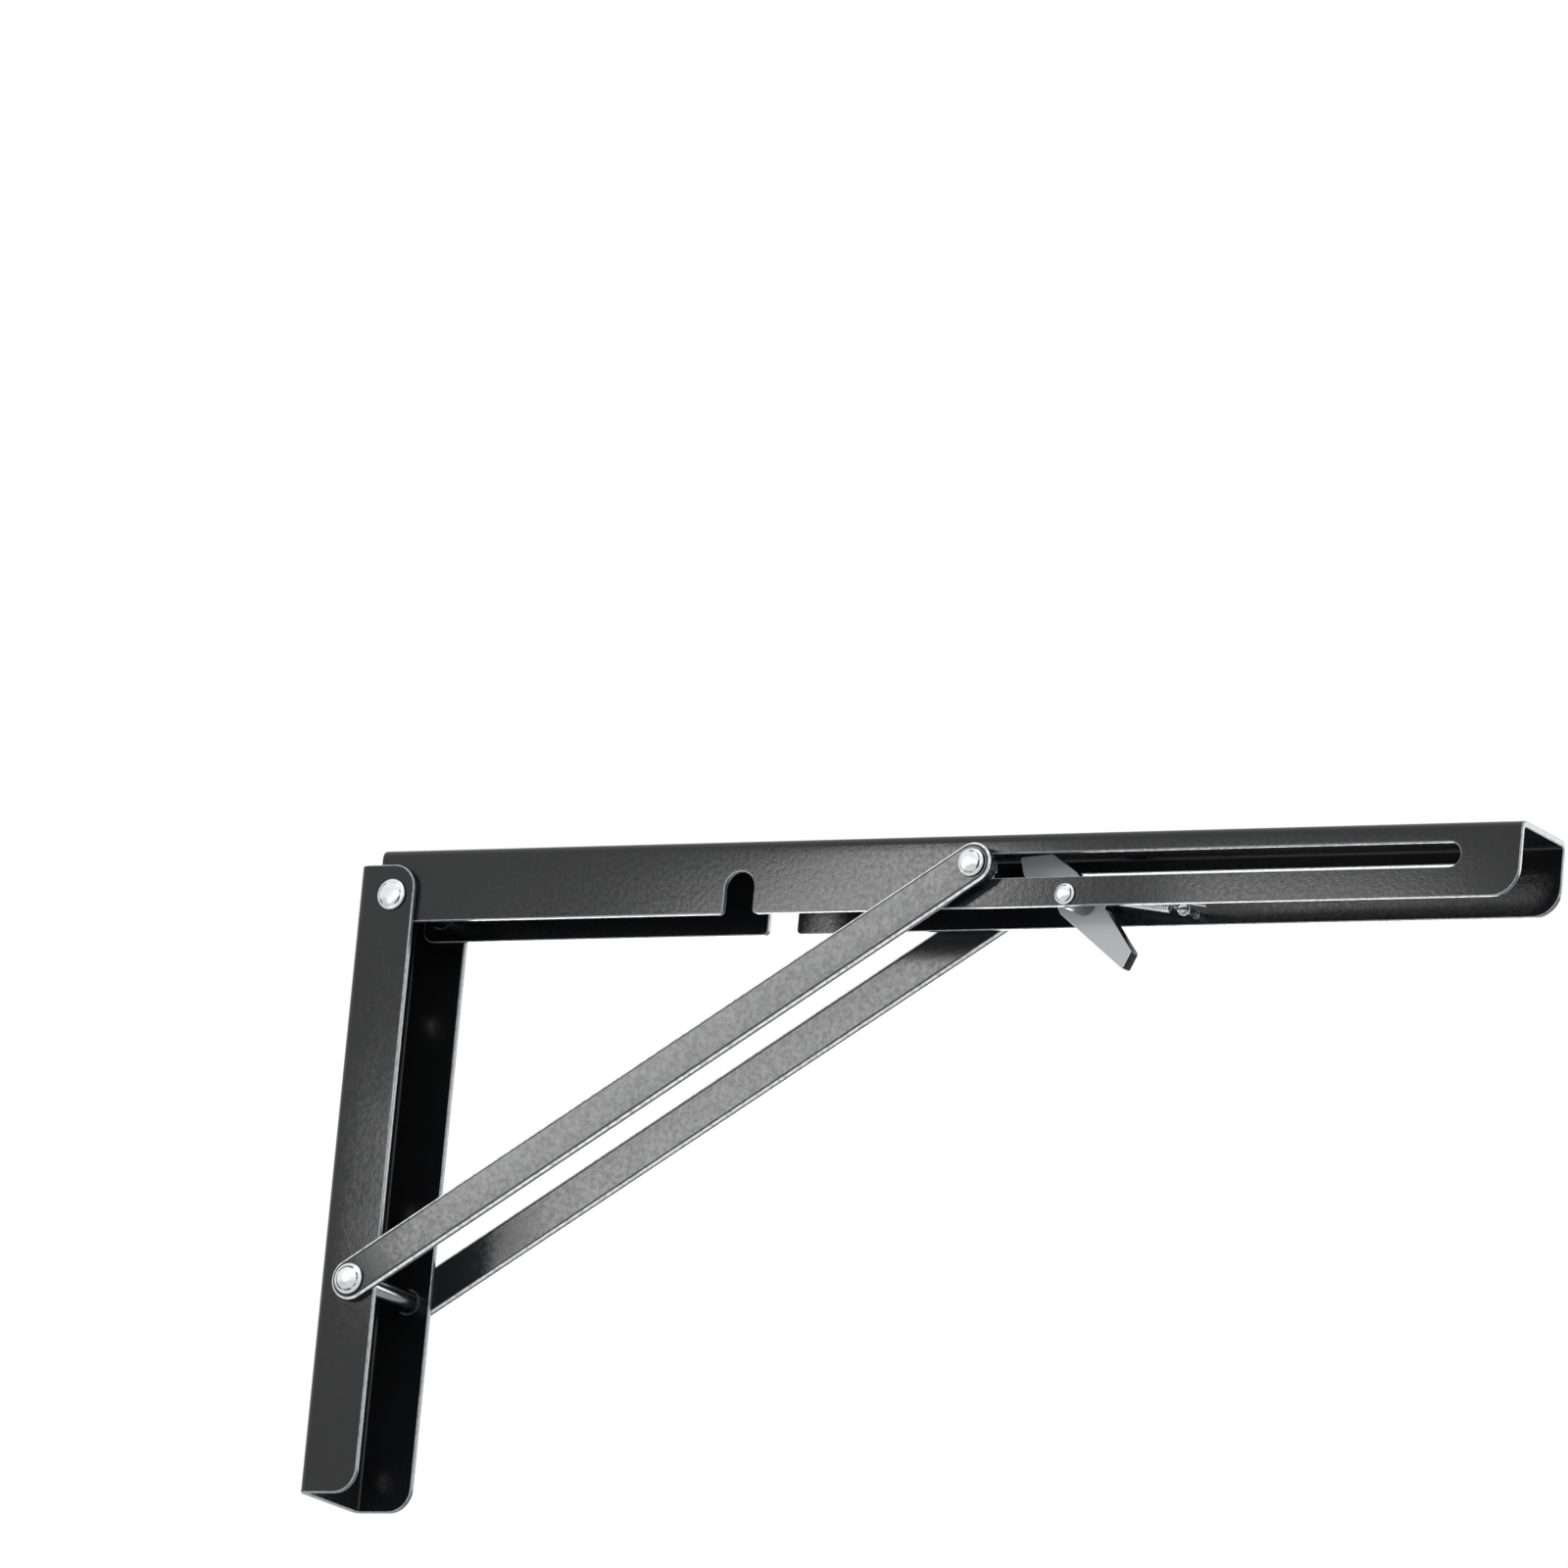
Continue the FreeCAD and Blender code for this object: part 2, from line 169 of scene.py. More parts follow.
def powder_coat(name, face_hex, drift_hex, edge_highlight_hex, cut_hex, roughness, peel_height_mm, specular=0.5):
    """Coat: noise ripples for bump and gloss, slow drift in colour, a pale painted highlight where turn
    is above LINE_FULL and the cut's colour where it nears 1. The painted highlight is broken by the
    ripples."""
    material, tree = new_material(name)
    place = node(tree, "ShaderNodeTexCoord").outputs["Object"]
    peel = node(tree, "ShaderNodeTexNoise", Vector=place, Scale=1 / (PEEL_MM * MM), Detail=2.0)
    fine = node(tree, "ShaderNodeTexNoise", Vector=place, Scale=FINE_RIPPLES / (PEEL_MM * MM), Detail=1.0)
    drift = node(tree, "ShaderNodeTexNoise", Vector=place, Scale=1 / (DRIFT_MM * MM), Detail=3.0)
    turn = node(tree, "ShaderNodeAttribute", {"attribute_name": "turn"}).outputs["Fac"]
    ripple = node(tree, "ShaderNodeMath", {"operation": "MULTIPLY_ADD"},
                  _0=fine.outputs["Fac"], _1=FINE_SHARE, _2=peel.outputs["Fac"])
    bump = node(tree, "ShaderNodeBump", Strength=1.0, Distance=peel_height_mm * MM,
                Height=ripple.outputs["Value"])
    tint = node(tree, "ShaderNodeMix", {"data_type": "RGBA"}, _0=drift.outputs["Fac"],
                _6=linear(face_hex), _7=linear(drift_hex))
    # Painted highlight: a pale line along the rounded edges, rising with turn and broken by the peel.
    rise = node(tree, "ShaderNodeMapRange", {"interpolation_type": "SMOOTHSTEP"}, _0=turn,
                _1=LINE_START, _2=LINE_FULL)
    highlight_breakup = node(tree, "ShaderNodeMapRange", _0=peel.outputs["Fac"],
                _1=BREAKUP_LOW, _2=BREAKUP_HIGH, _3=LEAST_LINE)
    line = node(tree, "ShaderNodeMath", {"operation": "MULTIPLY"}, _0=rise.outputs[0], _1=highlight_breakup.outputs[0])
    cut = node(tree, "ShaderNodeMapRange", {"interpolation_type": "SMOOTHSTEP"}, _0=turn,
               _1=CUT_START, _2=CUT_FULL)
    lined = node(tree, "ShaderNodeMix", {"data_type": "RGBA"}, _0=line.outputs[0],
                 _6=tint.outputs[2], _7=linear(edge_highlight_hex))
    colour = node(tree, "ShaderNodeMix", {"data_type": "RGBA"}, _0=cut.outputs[0],
                  _6=lined.outputs[2], _7=linear(cut_hex))
    gloss = node(tree, "ShaderNodeMapRange", _0=peel.outputs["Fac"], _1=PEEL_LOW, _2=PEEL_HIGH,
                 _3=roughness - PEEL_SMOOTHER, _4=roughness + PEEL_ROUGHER)
    shader = node(tree, "ShaderNodeBsdfPrincipled", Base_Color=colour.outputs[2],
                  Roughness=gloss.outputs["Result"], IOR=COAT_IOR, Specular_IOR_Level=specular,
                  Normal=bump.outputs["Normal"])
    close_material(tree, shader)
    return material


# The pale edge colours below are painted highlights along the sheet edges.
coat = powder_coat("powder_coated_steel", face_hex="0b0c0e", drift_hex="1a1b1d", edge_highlight_hex="b4b7bb",
                   cut_hex="505257", roughness=0.20, peel_height_mm=0.040)
bar_coat = powder_coat("powder_coated_bar", face_hex="1e1f21", drift_hex="2c2d2f", edge_highlight_hex="f2f3f5",
                       cut_hex="060708", roughness=0.18, peel_height_mm=0.010)
# The lever's grey face colour is a painted reflection, raised against the shade inside the channel.
lever_coat_painted_reflection = powder_coat("lever_coat_with_painted_reflection", face_hex="b4b6b9", drift_hex="c0c2c5", edge_highlight_hex="e6e8ea",
                         cut_hex="08090a", roughness=0.30, peel_height_mm=0.022, specular=0.15)
print("made", coat.name, bar_coat.name, lever_coat_painted_reflection.name)

# %% [markdown]
# Bright zinc plating. The rivets are cold headed from wire and plated, so they are nearly
# mirror bright, and the plating is faintly cloudy. A dark ring round the crown and a dark rim are
# painted reflections, standing for dark surroundings mirrored in the bright domes. The ring and rim
# are read from an attribute, off_axis, that is the distance from the rivet's axis over the head's
# radius. Oiled turned steel is darker and drawn spring wire softer in its gloss, and both share the
# function, without the painted ring. The real grain is some thousandths of a millimetre wide, too
# fine to show, so it is drawn 0.2 to 0.35 mm wide. A metal keeps the default IOR.

# %% Zinc plated steel and plain steel
CLOUD_MM = 3.5
GRAIN_HEIGHT_MM = 0.02
GRAIN_LOW, GRAIN_HIGH = 0.25, 0.75
GRAIN_SMOOTHER, GRAIN_ROUGHER = 0.05, 0.07
RING_STOPS = ((0.66, 0.0), (0.72, 1.0), (0.76, 1.0), (0.81, 0.0), (0.93, 0.0), (0.985, 1.0))
CLOUD_LOW, CLOUD_HIGH, LEAST_RING = 0.44, 0.54, 0.15
RIM_START, RIM_FULL = 0.90, 0.93


def plated_steel(name, bright_hex, dull_hex, roughness, grain_mm, dark_reflection_hex=None):
    """Metal with a cloudy tint and a fine noise grain in bump and roughness. With a ring colour, a ramp
    over off_axis paints a dark reflection: a ring at 0.74, broken by the cloud noise, and the whole rim
    above 0.93."""
    material, tree = new_material(name)
    place = node(tree, "ShaderNodeTexCoord").outputs["Object"]
    grain = node(tree, "ShaderNodeTexNoise", Vector=place, Scale=1 / (grain_mm * MM), Detail=3.0)
    cloud = node(tree, "ShaderNodeTexNoise", Vector=place, Scale=1 / (CLOUD_MM * MM), Detail=2.0)
    colour = node(tree, "ShaderNodeMix", {"data_type": "RGBA"}, _0=cloud.outputs["Fac"],
                  _6=linear(bright_hex), _7=linear(dull_hex))
    # Painted dark reflection: a ring and the rim of the head are darkened, standing for what the bright
    # dome mirrors.
    if dark_reflection_hex:
        off_axis = node(tree, "ShaderNodeAttribute", {"attribute_name": "off_axis"}).outputs["Fac"]
        ramp = node(tree, "ShaderNodeValToRGB", _0=off_axis)
        for at, _ in RING_STOPS[1:-1]:
            ramp.color_ramp.elements.new(at)
        for element, (at, dark) in zip(ramp.color_ramp.elements, RING_STOPS):
            element.position, element.color = at, (dark, dark, dark, 1.0)
        broken = node(tree, "ShaderNodeMapRange", _0=cloud.outputs["Fac"],
                      _1=CLOUD_LOW, _2=CLOUD_HIGH, _3=LEAST_RING)
        rim = node(tree, "ShaderNodeMapRange", _0=off_axis, _1=RIM_START, _2=RIM_FULL)
        shown = node(tree, "ShaderNodeMath", {"operation": "MAXIMUM"},
                     _0=broken.outputs[0], _1=rim.outputs[0])
        both = node(tree, "ShaderNodeMath", {"operation": "MULTIPLY"},
                    _0=ramp.outputs[0], _1=shown.outputs[0])
        colour = node(tree, "ShaderNodeMix", {"data_type": "RGBA"}, _0=both.outputs[0],
                      _6=colour.outputs[2], _7=linear(dark_reflection_hex))
    gloss = node(tree, "ShaderNodeMapRange", _0=grain.outputs["Fac"], _1=GRAIN_LOW, _2=GRAIN_HIGH,
                 _3=roughness - GRAIN_SMOOTHER, _4=roughness + GRAIN_ROUGHER)
    bump = node(tree, "ShaderNodeBump", Strength=0.4, Distance=GRAIN_HEIGHT_MM * MM,
                Height=grain.outputs["Fac"])
    shader = node(tree, "ShaderNodeBsdfPrincipled", Base_Color=colour.outputs[2], Metallic=1.0,
                  Roughness=gloss.outputs["Result"], Normal=bump.outputs["Normal"])
    close_material(tree, shader)
    return material


zinc = plated_steel("zinc_plated_steel", bright_hex="f4f5f7", dull_hex="d2d4d8",
                    roughness=0.20, grain_mm=0.35, dark_reflection_hex="1c1d20")
turned = plated_steel("oiled_turned_steel", bright_hex="96989c", dull_hex="727478",
                      roughness=0.16, grain_mm=0.25)
spring_steel = plated_steel("drawn_spring_wire", bright_hex="e4e6e9", dull_hex="b8bbbf",
                            roughness=0.24, grain_mm=0.20)
print("made", ", ".join(m.name for m in (zinc, turned, spring_steel)))

# %% [markdown]
# Both arms, the brace bars and the lever start as flat blanks: an outline with its slots and
# holes is punched out of sheet steel, and the arms are then folded up in a press.
# The same order makes clean meshes here: a function of two parameters, distance along the blank
# and distance across it, places every point of both skins, and the skins are joined round the
# rims. Cutting a finished channel with booleans would also work, but it leaves ragged faces
# along the bends.

# %% Flat outlines
ARC_STEP = math.radians(7.5)


def arc(centre, radius, start, end):
    """Points on a circle: centre + radius (cos a, sin a), a running evenly from start to end degrees."""
    start, end = math.radians(start), math.radians(end)
    a = np.linspace(start, end, max(3, int(math.ceil(abs(end - start) / ARC_STEP)) + 1))
    return np.stack([centre[0] + radius * np.cos(a), centre[1] + radius * np.sin(a)], 1)


def circle(centre, radius):
    """A full turn of arc() without its repeated last point."""
    return arc(centre, radius, 0, 360)[:-1]


def stadium(start, end, radius):
    """Two half circles of one radius about start and end, turned to face away from each other."""
    start, end = np.array(start, float), np.array(end, float)
    lean = math.degrees(math.atan2(*(end - start)[::-1]))
    return np.concatenate([arc(end, radius, lean - 90, lean + 90),
                           arc(start, radius, lean + 90, lean + 270)])


def rounded(points, radius):
    """Polygon whose corners become arcs of one radius: each arc's centre lies where the two sides,
    both moved inwards by the radius, would meet."""
    p = np.array(points, float)
    turns = []
    for before, here, after in zip(np.roll(p, 1, 0), p, np.roll(p, -1, 0)):
        a, b = before - here, after - here
        a, b = a / np.linalg.norm(a), b / np.linalg.norm(b)
        half = math.acos(np.clip(a @ b, -1, 1)) / 2
        centre = here + (a + b) / np.linalg.norm(a + b) * radius / math.sin(half)
        first = here + a * radius / math.tan(half) - centre
        last = here + b * radius / math.tan(half) - centre
        begin = math.degrees(math.atan2(first[1], first[0]))
        sweep = (math.degrees(math.atan2(last[1], last[0])) - begin + 180) % 360 - 180
        turns.append(arc(centre, radius, begin, begin + sweep))
    return np.concatenate(turns)


def dense(loop, step):
    """The closed loop with points added along its sides, no further apart than the step."""
    after = np.roll(loop, -1, 0)
    counts = np.maximum(1, np.ceil(np.linalg.norm(after - loop, axis=1) / step)).astype(int)
    start = np.repeat(np.arange(len(loop)), counts)
    first = np.repeat(np.cumsum(counts) - counts, counts)
    part = (np.arange(counts.sum()) - first) / np.repeat(counts, counts)
    return loop[start] + part[:, None] * (after - loop)[start]


print("half circle has", len(arc((0, 0), 1, 0, 180)), "points")

# %% [markdown]
# A rounded edge needs its outline again, moved a little into the metal. Scaling the outline
# would move its far parts more than its near ones, so every point goes along its own mitre
# instead. For that all outlines have to run the same way round the metal.

# %% Outlines moved into the metal
def metal_on_left(loop, hole=False):
    """The loop turned so that metal lies left of its direction. Twice the area is the sum of
    x dy - y dx, and its sign says which way round the loop goes."""
    area = np.sum(loop[:, 0] * np.roll(loop[:, 1], -1) - np.roll(loop[:, 0], -1) * loop[:, 1])
    return loop[::-1] if (area > 0) == hole else loop


def moved_into_metal(loop, distance):
    """Each point moved along the mitre of its two sides' normals: m = (n1 + n2) / (1 + n1.n2)."""
    side = np.roll(loop, -1, 0) - loop
    side /= np.linalg.norm(side, axis=1)[:, None]
    n2 = np.stack([-side[:, 1], side[:, 0]], 1)
    n1 = np.roll(n2, 1, 0)
    return loop + distance * (n1 + n2) / (1 + (n1 * n2).sum(1))[:, None]


def inside(points, loop):
    """True where a ray from the point towards +x crosses the closed loop an odd number of times."""
    x, y = points[:, 0, None], points[:, 1, None]
    x0, y0 = loop[:, 0], loop[:, 1]
    x1, y1 = np.roll(x0, -1), np.roll(y0, -1)
    rises = (y0 > y) != (y1 > y)
    with np.errstate(divide="ignore", invalid="ignore"):
        meets = x0 + (y - y0) * (x1 - x0) / (y1 - y0)
    return (rises & (x < meets)).sum(1) % 2 == 1


wider = moved_into_metal(metal_on_left(circle((0.0, 0.0), 3.0), hole=True), 1.0)
print("a hole of radius 3, moved 1 into the metal, has radius", round(np.linalg.norm(wider[0]), 3))

# %% [markdown]
# Every piece ends as arrays of points and faces, most of them quads between rows of points.
# Points that coincide, at seams and poles, are merged, the faces are turned outwards, and faces
# that meet at more than a given angle keep their edge sharp. The edges left open are counted,
# because a closed piece has none.

# %% Mesh from arrays
WELD = 2e-6
SHEET_SHARP = 35.0


def quads_between(index):
    """Quads between neighbouring rows of point numbers, each row closed on itself: (i, j),
    (i, j + 1), (i + 1, j + 1), (i + 1, j)."""
    lower, upper = index[:-1], index[1:]
    return np.stack([lower, np.roll(lower, -1, 1), np.roll(upper, -1, 1), upper], -1).reshape(-1, 4)


def mesh_piece(name, points, faces, material, sharp_degrees=SHEET_SHARP, **marks):
    """Mesh object at the origin from an array of points (metres) and a list of faces, smooth up to
    an angle. Each mark is one value a point, kept as an attribute for the material."""
    mesh = bpy.data.meshes.new(name)
    mesh.from_pydata(points.tolist(), [], faces)
    for mark, values in marks.items():
        layer = mesh.attributes.new(mark, "FLOAT", "POINT")
        layer.data.foreach_set("value", np.asarray(values, np.float32))
    shell = bmesh.new()
    shell.from_mesh(mesh)
    bmesh.ops.remove_doubles(shell, verts=shell.verts, dist=WELD)
    bmesh.ops.recalc_face_normals(shell, faces=shell.faces)
    open_edges = sum(not edge.is_manifold for edge in shell.edges)
    shell.to_mesh(mesh)
    shell.free()
    mesh.shade_smooth()
    mesh.set_sharp_from_angle(angle=math.radians(sharp_degrees))
    mesh.materials.append(material)
    piece = bpy.data.objects.new(name, mesh)
    bpy.context.scene.collection.objects.link(piece)
    print(name, "faces", len(mesh.polygons), "open edges", open_edges)
    return piece


print("points nearer than", WELD / MM, "mm are merged")

# %% [markdown]
# The flat part of a blank is filled between its outlines, each moved a little into the metal.
# A grid would step along the round holes, so a constrained triangulation is used. It keeps
# every outline and every crease as edges, and the triangles whose middle is in metal stay.

# %% Filling a blank
SLIVER = 0.001
CREASE_OVERRUN = 1.0
FILL_GRAIN = 1e-5


def fill(loop, holes, creases):
    """Triangles of the flat part: points (u, t) and faces, from a constrained triangulation.
    A triangle stays if its middle lies in the loop, out of the holes, and it isn't a sliver."""
    every = [loop] + list(holes)
    flat, lines, first = [], [], 0
    for line in every:
        index = np.arange(len(line)) + first
        flat.append(line)
        lines.append(np.stack([index, np.roll(index, -1)], 1))
        first += len(line)
    along = np.concatenate(flat)[:, 0]
    low_u, high_u = along.min() - CREASE_OVERRUN, along.max() + CREASE_OVERRUN
    for t in creases:
        flat.append(np.array([[low_u, t], [high_u, t]]))
        lines.append(np.array([[first, first + 1]]))
        first += 2
    flat = [Vector(v) for v in np.concatenate(flat)]
    done = delaunay_2d_cdt(flat, np.concatenate(lines).tolist(), [], 0, FILL_GRAIN)
    points, faces = np.array([tuple(v) for v in done[0]]), np.array(done[2])
    middle = points[faces].mean(1)
    a, b = points[faces[:, 1]] - points[faces[:, 0]], points[faces[:, 2]] - points[faces[:, 0]]
    keep = np.abs(a[:, 0] * b[:, 1] - a[:, 1] * b[:, 0]) > SLIVER * np.linalg.norm(a, axis=1)
    keep &= inside(middle, loop)
    for hole in holes:
        keep &= ~inside(middle, hole)
    used, faces = np.unique(faces[keep], return_inverse=True)
    return points[used], faces.reshape(-1, 3)


print("a disc is filled with", len(fill(circle((0.0, 0.0), 5.0), [], [])[1]), "triangles")

# %% [markdown]
# The filled blank serves once for each skin, and a rounded edge profile is carried along every
# outline and joins the two. A Bevel modifier could round the edges too, but it would also catch
# the creases. The photograph's bright lines are these edges catching the lamps, together with the
# highlight painted along them: a sharp edge would have nothing to catch the light.

# %% Blank to sheet metal piece
EDGE_STEPS = 4
SUPPORT = 1.6


def edge_strip(loop, radius, thickness):
    """Edge profile along a loop. Rows go from the flat of the outer skin round to the inner skin:
    moved in by radius (1 - sin b), under the skin by radius (1 - cos b), b from 0 to 90 degrees.
    turn is b over 90 degrees: 0 on the faces, 1 on the cut."""
    b = np.linspace(0, np.pi / 2, EDGE_STEPS + 1)
    moved = np.concatenate([[SUPPORT * radius], radius * (1 - np.sin(b))])
    under = np.concatenate([[0.0], radius * (1 - np.cos(b))])
    moved = np.concatenate([moved, moved[::-1]])
    under = np.concatenate([under, thickness - under[::-1]])
    rows = np.stack([moved_into_metal(loop, m) for m in moved])
    turn = np.concatenate([[0.0], b / b[-1]])
    turn = np.concatenate([turn, turn[::-1]])
    depth, turn = np.repeat(under, len(loop)), np.repeat(turn, len(loop))
    index = np.arange(len(depth)).reshape(-1, len(loop))
    return rows.reshape(-1, 2), depth, turn, quads_between(index)


def sheet_piece(name, outline, holes, creases, place, thickness, material, radius):
    """outline and holes are closed loops of (u, t), creases are lines of constant t.
    place(u, t, w) gives the point at depth w under the outer skin, all as whole arrays."""
    outline = metal_on_left(outline)
    holes = [metal_on_left(hole, hole=True) for hole in holes]
    flat, faces = fill(moved_into_metal(outline, SUPPORT * radius),
                       [moved_into_metal(hole, SUPPORT * radius) for hole in holes], creases)
    points = [place(flat[:, 0], flat[:, 1], 0.0), place(flat[:, 0], flat[:, 1], thickness)]
    every = faces.tolist() + (faces[:, ::-1] + len(flat)).tolist()
    first, turns = 2 * len(flat), [np.zeros(2 * len(flat))]
    for loop in [outline] + holes:
        rows, depth, turn, quads = edge_strip(loop, radius, thickness)
        points.append(place(rows[:, 0], rows[:, 1], depth))
        turns.append(turn)
        every += (quads + first).tolist()
        first += len(rows)
    return mesh_piece(name, np.concatenate(points) * MM, every, material, turn=np.concatenate(turns))


print("an edge profile has", 2 * (EDGE_STEPS + 2), "rows")

# %% [markdown]
# A finished piece takes the place of one node of the CAD model. It moves with the same body,
# read from the imported record, so no name is written twice.

# %% Standing for a CAD node
def stand_for(piece, node_name):
    """The piece replaces a CAD node and rides on the same body."""
    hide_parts(node_name)
    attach(piece, body_of[node_name])


bodies = frame["record"]["behaviour"]["bodies"]
body_of = {name: body for body, names in bodies.items() for name in names}

# %% [markdown]
# Both arms are channels: a web with a flange on each side. A modifier could bend a flat mesh,
# but a formula keeps the sheet's thickness even through the bend. Across the blank, t runs over
# the outer skin from one free edge to the other. Up to t = a it is web, then it turns through a
# quarter circle of the outer bend radius, and the rest is flange. All real sizes are in
# millimetres, as in the part's drawing.

# %% Folding a blank into a channel
SHEET = 2.0
BEND, BEND_STEPS = 3.0, 8


def fold(t, w, half):
    """Across and down the channel for the point at t on the outer skin, w under it.
    Web: (t, 0). Bend: centre + BEND (sin, cos) of the angle (t - a) / BEND. Flange: straight down."""
    a = half - BEND
    turn = np.clip((np.abs(t) - a) / BEND, 0, np.pi / 2)
    run = np.clip(np.abs(t) - a - BEND * np.pi / 2, 0, None)
    across = np.minimum(np.abs(t), a) + (BEND - w) * np.sin(turn)
    down = np.where(turn > 0, BEND - (BEND - w) * np.cos(turn), w) + run
    return np.sign(t) * across, down


def creases_of(half):
    """Lines along the blank where the bend starts, steps and ends, on both sides."""
    a = half - BEND
    steps = a + BEND * np.pi / 2 * np.linspace(0, 1, BEND_STEPS + 1)
    return np.concatenate([-steps[::-1], steps])


def flange(side, half, loop):
    """A loop drawn on a flange as (u, depth below the web) moved to the blank's (u, t)."""
    shift = half - BEND + BEND * np.pi / 2 - BEND
    return np.stack([loop[:, 0], side * (loop[:, 1] + shift)], 1)


def channel_outline(half, edge):
    """The blank's closed outline: one flange's free edge, drawn left to right, the end across the
    web with a point at every crease, the other flange's free edge and the end back again."""
    near, far = flange(-1, half, edge), flange(1, half, edge)
    across = creases_of(half)
    right_end = np.stack([np.full_like(across, near[-1, 0]), across], 1)
    left_end = np.stack([np.full_like(across, near[0, 0]), across], 1)
    return np.concatenate([near, right_end, far[::-1], left_end[::-1]])


print("a bend takes", round(BEND * math.pi / 2, 2), "mm of the blank")

# %% [markdown]
# The wall arm stands on the wall with its web flat against it and its flanges forward. It has the
# main pivot, the hole that the brace foot's sleeve turns in, and three screw holes in the web.
# The bare CAD node could be painted as it is, but its edges are sharp, so it is folded anew.

# %% Wall arm
WALL_HALF, WALL_DEPTH = 18.5, 21.0
WALL_TOP, WALL_FOOT, WALL_CORNER = 10.0, -196.0, 8.0
PIVOT_X, FOOT_DROP = 13.0, 127.0
PIVOT_HOLE, SLEEVE_HOLE, SCREW_HOLE = 3.05, 3.85, 3.0
WALL_SCREW_DROPS = (32.0, 95.0, 183.0)
WALL_EDGE_RADIUS = 0.5

wall_edge = np.concatenate([
    arc((WALL_FOOT + WALL_CORNER, WALL_DEPTH - WALL_CORNER), WALL_CORNER, 180, 90),
    arc((WALL_TOP - WALL_CORNER, WALL_DEPTH - WALL_CORNER), WALL_CORNER, 90, 0)])
wall_holes = [circle((-drop, 0.0), SCREW_HOLE) for drop in WALL_SCREW_DROPS]
for side in (-1, 1):
    wall_holes.append(flange(side, WALL_HALF, circle((0.0, PIVOT_X), PIVOT_HOLE)))
    wall_holes.append(flange(side, WALL_HALF, circle((-FOOT_DROP, PIVOT_X), SLEEVE_HOLE)))


def place_wall(u, t, w):
    """The channel stood up: down the flange is away from the wall, along the blank is up."""
    across, down = fold(t, w, WALL_HALF)
    return np.stack([down, across, u], 1)


wall_sheet = sheet_piece("wall_arm_sheet", channel_outline(WALL_HALF, wall_edge), wall_holes,
                         creases_of(WALL_HALF), place_wall, SHEET, coat, WALL_EDGE_RADIUS)
stand_for(wall_sheet, "wall_arm")

# %% [markdown]
# The shelf arm lies under the shelf with its flanges down. Each flange has a long slot for the
# slider, a notch that clears the foot sleeve when the bracket is folded flat, and the holes for
# the main pivot and the latch. Only the far flange has the hole for the spring anchor.
# Folded flat, the brace lies along the arm, so its length says how far the slot has to reach.

# %% Shelf arm
SHELF_HALF, SHELF_DEPTH, SHELF_TOP = 16.0, 24.0, 15.6
SLIDER, SLOT_RISE = 213.0, 5.0
BRACE = math.hypot(SLIDER, FOOT_DROP + SLOT_RISE)
FOLDED = FOOT_DROP + math.sqrt(BRACE ** 2 - SLOT_RISE ** 2)
print("brace", round(BRACE, 2), "folded reach", round(FOLDED, 2))
HEEL, TIP = -6.4, FOLDED + 24.5
HEEL_CORNER, TIP_CORNER = 4.0, 9.0
NOTCH, MOUTH = 10.8, 1.5
LATCH, LATCH_RISE, LATCH_HOLE = SLIDER + 31.5, -4.7, 2.55
ANCHOR, ANCHOR_RISE, ANCHOR_HOLE = LATCH + 31.0, -5.0, 1.25
SLOT_RADIUS, SLEEVE_RADIUS, SLOT_END_GAP = 4.0, 3.8, 0.3
SHELF_SCREW_REACHES = (40.0, 165.0, 320.0)
SHELF_EDGE_RADIUS = 0.32

left, right = PIVOT_X + HEEL, PIVOT_X + TIP
notch = PIVOT_X + FOOT_DROP
shelf_edge = np.concatenate([
    arc((left + HEEL_CORNER, SHELF_DEPTH - HEEL_CORNER), HEEL_CORNER, 180, 90),
    arc((notch - NOTCH / 2 - MOUTH, SHELF_DEPTH - MOUTH), MOUTH, 90, 0),
    arc((notch, SHELF_TOP), NOTCH / 2, 180, 360),
    arc((notch + NOTCH / 2 + MOUTH, SHELF_DEPTH - MOUTH), MOUTH, 180, 90),
    arc((right - TIP_CORNER, SHELF_DEPTH - TIP_CORNER), TIP_CORNER, 90, 0)])
end_shift = SLOT_RADIUS - SLEEVE_RADIUS - SLOT_END_GAP
slot_depth = SHELF_TOP - SLOT_RISE
slot_loop = stadium((PIVOT_X + SLIDER + end_shift, slot_depth),
                    (PIVOT_X + FOLDED - end_shift, slot_depth), SLOT_RADIUS)
latch_hole = circle((PIVOT_X + LATCH, SHELF_TOP - LATCH_RISE), LATCH_HOLE)
anchor_hole = circle((PIVOT_X + ANCHOR, SHELF_TOP - ANCHOR_RISE), ANCHOR_HOLE)
shelf_holes = [circle((PIVOT_X + reach, 0.0), SCREW_HOLE) for reach in SHELF_SCREW_REACHES]
for side in (-1, 1):
    shelf_holes.append(flange(side, SHELF_HALF, circle((PIVOT_X, SHELF_TOP), SLEEVE_HOLE)))
    shelf_holes.append(flange(side, SHELF_HALF, latch_hole))
    shelf_holes.append(flange(side, SHELF_HALF, slot_loop))
shelf_holes.append(flange(1, SHELF_HALF, anchor_hole))


def place_shelf(u, t, w):
    """The channel laid down: along the blank is +X, down the flange is down."""
    across, down = fold(t, w, SHELF_HALF)
    return np.stack([u, across, SHELF_TOP - down], 1)


shelf_sheet = sheet_piece("shelf_arm_sheet", channel_outline(SHELF_HALF, shelf_edge), shelf_holes,
                          creases_of(SHELF_HALF), place_shelf, SHEET, coat, SHELF_EDGE_RADIUS)
stand_for(shelf_sheet, "shelf_arm")

# %% [markdown]
# The brace is a pair of flat bars with round ends, one outside each flange. They are punched from
# thicker strip, so their edges are rounder. One outline serves both, and the side says which way
# the outer skin faces: a mirrored copy would be turned inside out.

